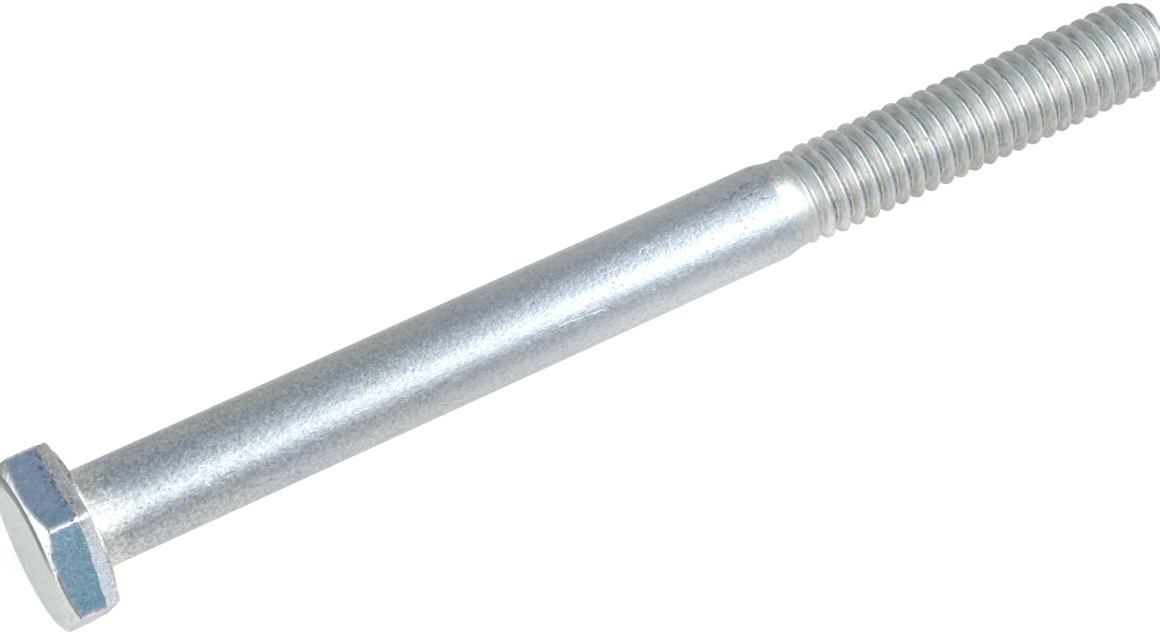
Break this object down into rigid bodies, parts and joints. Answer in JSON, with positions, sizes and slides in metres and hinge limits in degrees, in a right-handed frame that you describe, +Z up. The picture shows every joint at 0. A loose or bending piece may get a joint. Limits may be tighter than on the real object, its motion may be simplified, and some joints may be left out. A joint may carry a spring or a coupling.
{
  "type": "filter cover bolt",
  "caption": "Partly threaded hexagon-head bolt with a long plain shank and a rolled right-hand thread, for clamping a filter cover.",
  "frame": {"origin": "centre of the bounding box's bottom, on the table the bolt lies on", "axes": "+X along the bolt from head to tip, as seen from above; +Z up; the shank's axis leans 1.6 degrees down towards the tip, because the bolt rests on one flat of its head and on its last threads"},
  "size_m": [0.1022, 0.0154, 0.0134],
  "materials": {
    "zinc_plated_steel": "satin zinc plating"
  },
  "bodies": {
    "root": {"bolt": "zinc_plated_steel"}
  },
  "joints": []
}
